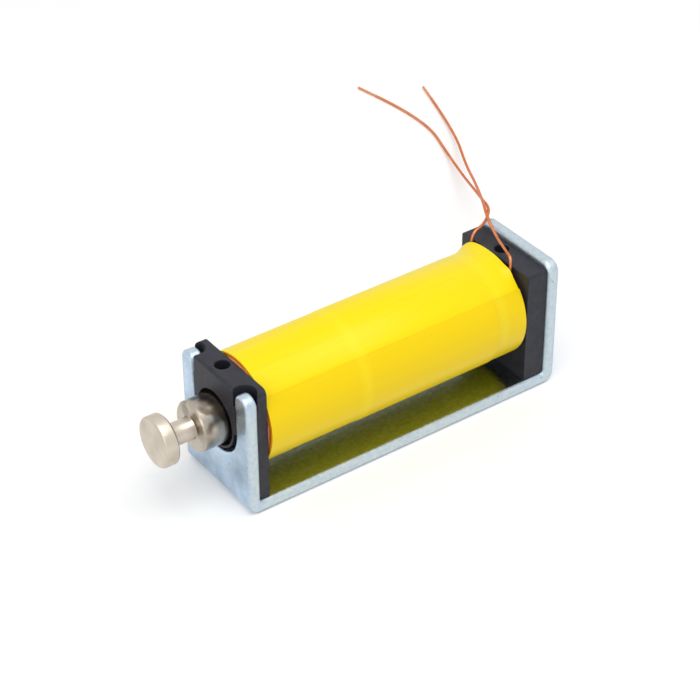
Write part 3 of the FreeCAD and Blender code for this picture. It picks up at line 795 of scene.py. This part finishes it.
@dataclass(frozen=True)
class Coil:
    """Winding and tape: turns of wire, a layered sleeve, a patch and the last turn's lap.

    The tube under the winding starts tube_rise above the bobbin's foot. The lap's free edge lies
    lap_top degrees from straight up towards -Y, and the lap goes round by lap_turn degrees.
    """

    axis: CoilAxis
    wire: float = 0.3 * MM
    wire_corners: int = 6
    tube_rise: float = 3.99 * MM
    rear_step: float = 0.45 * MM
    lower_layers: int = 2
    film: float = 0.06 * MM
    layers: int = 3
    layer_stagger: float = 0.05 * MM
    lap_top: float = 50.0
    lap_turn: float = 150.0
    lap_lift: float = 0.01 * MM
    lift_reach: float = 0.25 * MM
    step_width: float = 0.1 * MM
    step_share: float = 0.4
    step_drop: float = 0.3
    ridge: float = 0.04 * MM
    spin_steps: int = 120
    lap_steps: int = 90
    wire_steps: int = 48
    swell_step: float = 0.25 * MM
    swell_steps: int = 6
    swells: tuple[Swelling, ...] = ()

    def build(self) -> None:
        """Winds the wire, then lays the tape from the inside out."""
        self.wind_wire()
        self.wrap_tape()
        low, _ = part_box("tape_patch")
        dress("tape_patch", FilmTape(TapeLayer.PATCH, low[0]))
        self.lay_lap()

    def wind_wire(self) -> bpy.types.Object:
        """The outer layer's turns side by side, over a sleeve that stands for the layers below.

        Returns:
            The winding.
        """
        low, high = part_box("coil_winding")
        outer = (high[2] - low[2]) / 2
        inner = self.axis.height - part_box("bobbin")[0][2] - self.tube_rise
        wound = high[0] - low[0] - self.rear_step
        count = int(wound / self.wire)
        pitch = wound / count
        bm = bmesh.new()
        front, back, stepped = low[0], low[0] + pitch, low[0] + pitch + self.rear_step
        thick, below = self.wire / 2, outer - self.wire / 2
        around = [2 * math.pi * corner / self.wire_corners for corner in range(self.wire_corners)]
        self.axis.spin(bm, [(front + pitch / 2 + thick * math.cos(angle),
                             below + thick * math.sin(angle)) for angle in around],
                       self.wire_steps)
        self.axis.spin(bm, [(front, inner), (back, inner), (back, below), (front, below)],
                       self.wire_steps)
        deep = outer - self.lower_layers * self.wire
        self.axis.spin(bm, [(front, inner), (stepped, inner), (stepped, deep), (front, deep)],
                       self.wire_steps)
        bmesh.ops.recalc_face_normals(bm, faces=bm.faces)
        winding = shaped_piece("copper_turns", bm, EnamelledCopper(), Ride.FRAME,
                               "coil_winding")
        turns = winding.modifiers.new("side_by_side", "ARRAY")
        turns.use_relative_offset = False
        turns.use_constant_offset = True
        turns.constant_offset_displace = (pitch, 0.0, 0.0)
        turns.count = count
        return winding

    def wrap_tape(self) -> bpy.types.Object:
        """Three layers of film, their slit ends not quite in line, swollen over the leads' roots.

        Returns:
            The tape's sleeve.
        """
        low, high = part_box("tape_wrap")
        band_low, band_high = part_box("tape_patch")
        outer = (high[2] - low[2]) / 2
        bm = bmesh.new()
        for layer in range(self.layers):
            inset = self.layer_stagger * ((layer * 2) % self.layers)
            top = outer - self.film * (self.layers - 1 - layer)
            bottom = top - self.film
            front, rear = low[0] + inset, high[0] - inset
            swollen = [rear - self.swell_step * step for step in range(self.swell_steps, -1, -1)]
            raised = [(band_low[0] - self.step_width, top), (band_low[0], top + self.ridge),
                      (band_high[0], top + self.ridge), (band_high[0] + self.step_width, top)]
            outline = [(front, top)] + raised + [(x, top) for x in swollen]
            outline += [(x, bottom) for x in reversed([front] + swollen)]
            self.axis.spin(bm, outline, self.spin_steps)
        for swelling in self.swells:
            swelling.press(bm, self.axis, high[0], outer)
        bmesh.ops.recalc_face_normals(bm, faces=bm.faces)
        return shaped_piece("wrapped_tape", bm, FilmTape(TapeLayer.WRAP, low[0]), Ride.FRAME,
                            "tape_wrap")

    def lay_lap(self) -> bpy.types.Object:
        """The last turn: film that steps down at the patch's ends and lifts at its free edge.

        Returns:
            The lap.
        """
        low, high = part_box("tape_end_flap")
        patch_low, patch_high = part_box("tape_patch")
        wrap_low, wrap_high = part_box("tape_wrap")
        down = (wrap_high[2] - wrap_low[2]) / 2
        up = down + self.film
        bend = down + self.film * self.step_drop
        step, near = self.step_width, self.step_width * self.step_share
        outline = [(low[0], down), (patch_low[0] - step, down), (patch_low[0] - near, bend),
                   (patch_low[0], up), (patch_high[0], up), (patch_high[0] + near, bend),
                   (patch_high[0] + step, down), (high[0], down)]
        edge_turn = math.radians(self.lap_top)
        bm = bmesh.new()
        self.axis.spin(bm, outline, self.lap_steps, math.radians(self.lap_turn), edge_turn,
                       closed=False)
        for vert in bm.verts:
            arm = vert.co - self.axis.point
            turned = math.atan2(-arm.y, arm.z) - edge_turn
            along = turned * down
            if along < self.lift_reach:
                share = (vert.co.x - low[0]) / (high[0] - low[0])
                lift = self.lap_lift * share * (1 - max(along, 0.0) / self.lift_reach)
                radial = Vector((0.0, arm.y, arm.z)).normalized()
                vert.co += radial * lift
        bmesh.ops.recalc_face_normals(bm, faces=bm.faces)
        bmesh.ops.solidify(bm, geom=bm.faces[:], thickness=-self.film)
        bmesh.ops.recalc_face_normals(bm, faces=bm.faces)
        return shaped_piece("taped_lap", bm, FilmTape(TapeLayer.LAP, low[0]), Ride.FRAME,
                            "tape_end_flap")


@dataclass(frozen=True)
class FreeLead:
    """One free end of the winding wire, with its bared tip.

    The route's points are in millimetres, from the coil to where the bared tip starts.
    """

    name: str
    length: float
    route: tuple[tuple[float, float, float], ...]
    diameter: float = 0.0003
    tip_length: float = 3.0 * MM
    tip_radius: float = 0.14 * MM
    tip_blunt: float = 0.04 * MM
    tip_sides: int = 20
    tip_steps: int = 3
    wire_steps: int = 10
    wire_bevel_steps: int = 4

    def build(self) -> None:
        """Runs the wire along its route and puts the tip on its end."""
        tip = self.make_tip()
        wire = self.run_wire()

    def point(self, index: int) -> Vector:
        """A point of the route, in metres."""
        return Vector(self.route[index]) * MM

    def run_wire(self) -> bpy.types.Object:
        """A smooth line with the route's points as its control points.

        Returns:
            The wire.
        """
        curve = bpy.data.curves.new(f"{self.name}_wire", "CURVE")
        curve.dimensions = "3D"
        curve.resolution_u = self.wire_steps
        curve.bevel_depth = self.diameter / 2
        curve.bevel_resolution = self.wire_bevel_steps
        curve.use_fill_caps = True
        spline = curve.splines.new("NURBS")
        spline.points.add(len(self.route) - 1)
        for index, point in enumerate(spline.points):
            point.co = (*self.point(index), 1.0)
        spline.order_u = 3
        spline.use_endpoint_u = True
        curve.materials.append(EnamelledCopper().material())
        wire = bpy.data.objects.new(f"{self.name}_wire", curve)
        bpy.context.scene.collection.objects.link(wire)
        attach(wire, Ride.FRAME.value)
        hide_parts(self.name)
        log.info("ran %s_wire", self.name)
        return wire

    def make_tip(self) -> bpy.types.Object:
        """The end scraped clear of enamel: bare copper, a little thinner, snipped off and blunted.

        Returns:
            The tip.
        """
        end = self.point(-1)
        along = (end - self.point(-2)).normalized()
        bm = bmesh.new()
        bmesh.ops.create_cone(bm, cap_ends=True, segments=self.tip_sides, radius1=self.tip_radius,
                              radius2=self.tip_radius, depth=self.tip_length)
        bmesh.ops.translate(bm, verts=bm.verts, vec=(0.0, 0.0, self.tip_length / 2))
        rims = [edge for edge in bm.edges
                if abs(edge.verts[0].co.z - edge.verts[1].co.z) < MERGE_DISTANCE]
        bmesh.ops.bevel(bm, geom=rims, offset=self.tip_blunt, offset_type="OFFSET",
                        segments=self.tip_steps, profile=0.5, affect="EDGES", material=-1)
        turn = Vector((0.0, 0.0, 1.0)).rotation_difference(along).to_matrix().to_4x4()
        bmesh.ops.transform(bm, matrix=Matrix.Translation(end) @ turn, verts=bm.verts)
        scraped = TurnedFinish(TurnedMetal.SCRAPED_COPPER, feed_mm=0.4, handling_mm=0.6,
                               rough_low=0.3, rough_high=0.45)
        return shaped_piece(f"{self.name}_bared", bm, scraped, Ride.FRAME,
                            f"{self.name}_tip")


START_LEAD = FreeLead("lead_start", 0.060, (
    (14.27, 3.32, 12.4), (14.06, 3.36, 14.0), (16.15, 3.8, 14.25), (17.6, 4.95, 14.4),
    (19.25, 7.05, 13.5), (22.42, 11.85, 10.75), (27.2, 18.95, 6.7), (32.0, 26.5, 2.7),
    (36.1, 34.4, 0.22), (39.1, 43.0, 0.2), (37.78, 51.01, 0.2),
))
FINISH_LEAD = FreeLead("lead_finish", 0.061, (
    (14.27, -2.55, 12.82), (14.24, -2.72, 14.3), (14.85, -1.1, 14.14), (15.75, 1.6, 14.16),
    (16.55, 4.0, 14.95), (18.8, 7.2, 13.8), (22.25, 11.9, 11.2), (28.0, 20.0, 7.0),
    (34.0, 28.8, 2.5), (40.1, 38.6, 0.2), (42.78, 46.6, 0.2),
))


@dataclass(frozen=True)
class Studio:
    """The photograph's camera, a sheet of white paper and plain soft light.

    The camera's angles are in degrees: azimuth from -Y towards +X, elevation, and roll.
    """

    image_px: float = 700.0
    focal_px: float = 2184.5
    sensor_mm: float = 36.0
    nearest: float = 0.01
    azimuth: float = -35.625
    elevation: float = 35.69
    roll: float = -0.354
    distance: float = 210.792 * MM
    target: tuple[float, float, float] = (-0.174 * MM, 3.747 * MM, 6.0 * MM)
    paper_size: float = 1.2
    world_light: float = 0.55
    key_place: tuple[float, float, float] = (-0.02, -0.12, 0.42)
    key_size: float = 0.34
    key_power: float = 1.0
    fill_place: tuple[float, float, float] = (-0.38, -0.2, 0.22)
    fill_size: float = 0.3
    fill_power: float = 0.35

    def build(self) -> None:
        """Sets up camera, paper, lamps and world."""
        self.place_camera()
        self.lay_paper()
        self.hang_lamp("overhead_softbox", self.key_place, self.key_size, self.key_power)
        self.hang_lamp("side_softbox", self.fill_place, self.fill_size, self.fill_power)
        self.light_world()
        bpy.context.scene.view_settings.view_transform = "Standard"
        log.info("set up the studio")

    def place_camera(self) -> None:
        """Puts the camera where the photograph was taken from."""
        turn, rise = math.radians(self.azimuth), math.radians(self.elevation)
        tilt = math.radians(self.roll)
        back = Vector((math.sin(turn) * math.cos(rise), -math.cos(turn) * math.cos(rise),
                       math.sin(rise)))
        level = Vector((math.cos(turn), math.sin(turn), 0.0))
        upright = back.cross(level)
        right = level * math.cos(tilt) + upright * math.sin(tilt)
        up = upright * math.cos(tilt) - level * math.sin(tilt)
        lens = bpy.data.cameras.new("photograph_camera")
        lens.sensor_width = self.sensor_mm
        lens.lens = self.focal_px / self.image_px * self.sensor_mm
        lens.clip_start = self.nearest
        camera = bpy.data.objects.new("photograph_camera", lens)
        bpy.context.scene.collection.objects.link(camera)
        stand = Matrix.Translation(Vector(self.target) + back * self.distance)
        camera.matrix_world = stand @ Matrix((right, up, back)).transposed().to_4x4()
        bpy.context.scene.camera = camera

    def lay_paper(self) -> None:
        """A flat sheet under the part."""
        bm = bmesh.new()
        bmesh.ops.create_grid(bm, x_segments=2, y_segments=2, size=self.paper_size)
        mesh = bpy.data.meshes.new("studio_floor")
        bm.to_mesh(mesh)
        bm.free()
        mesh.materials.append(StudioPaper().material())
        floor = bpy.data.objects.new("studio_floor", mesh)
        bpy.context.scene.collection.objects.link(floor)

    def hang_lamp(self, name: str, place: tuple[float, float, float], size: float,
                  power: float) -> None:
        """Hangs a square softbox that faces the part.

        Args:
            name: its name.
            place: where it hangs, in metres.
            size: its side, in metres.
            power: its power in watts.
        """
        lamp = bpy.data.lights.new(name, "AREA")
        lamp.shape = "SQUARE"
        lamp.size = size
        lamp.energy = power
        holder = bpy.data.objects.new(name, lamp)
        holder.location = place
        holder.rotation_euler = Vector(place).to_track_quat("Z", "Y").to_euler()
        bpy.context.scene.collection.objects.link(holder)

    def light_world(self) -> None:
        """A white room that the camera and the metal see at full strength."""
        world = bpy.data.worlds.new("white_room")
        world.use_nodes = True
        tree = world.node_tree
        path = add_node(tree, "ShaderNodeLightPath")
        seen = add_node(tree, "ShaderNodeMath", {"operation": "MAXIMUM"},
                        {0: path.outputs["Is Camera Ray"], 1: path.outputs["Is Glossy Ray"]})
        level = add_node(tree, "ShaderNodeMapRange", {"To Min": self.world_light, "To Max": 1.0},
                         {"Value": seen.outputs[0]})
        set_up(tree, tree.nodes["Background"], {"Color": WHITE}, {"Strength": level.outputs[0]})
        bpy.context.scene.world = world


@dataclass(frozen=True)
class Housing:
    """The pieces that hold still round the coil: bracket, bobbin, core and washer."""

    axis: CoilAxis

    def build(self) -> None:
        """Dresses each of them."""
        dress("frame_bracket", BrightZincPlate())
        dress("bobbin", MouldedNylon())
        dress("fixed_core", TurnedFinish(TurnedMetal.PLATED_CORE_STEEL, self.axis.height))
        dress("stop_washer", TurnedFinish(TurnedMetal.BRASS_SHIM, self.axis.height))


def main() -> None:
    """Builds the looks."""
    logging.basicConfig(level=logging.INFO, format="%(name)s: %(message)s")
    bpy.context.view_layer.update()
    axis = CoilAxis.of_frame()
    Studio().build()
    START_LEAD.build()
    FINISH_LEAD.build()
    Housing(axis).build()
    Coil(axis, swells=(
        Swelling(START_LEAD.point(0), height=0.55 * MM, reach=1.5 * MM, width=2.2 * MM),
        Swelling(FINISH_LEAD.point(0), height=0.22 * MM, reach=0.9 * MM, width=0.6 * MM),
    )).build()
    PlungerGroup(axis).build()


if __name__ == "__main__":
    main()
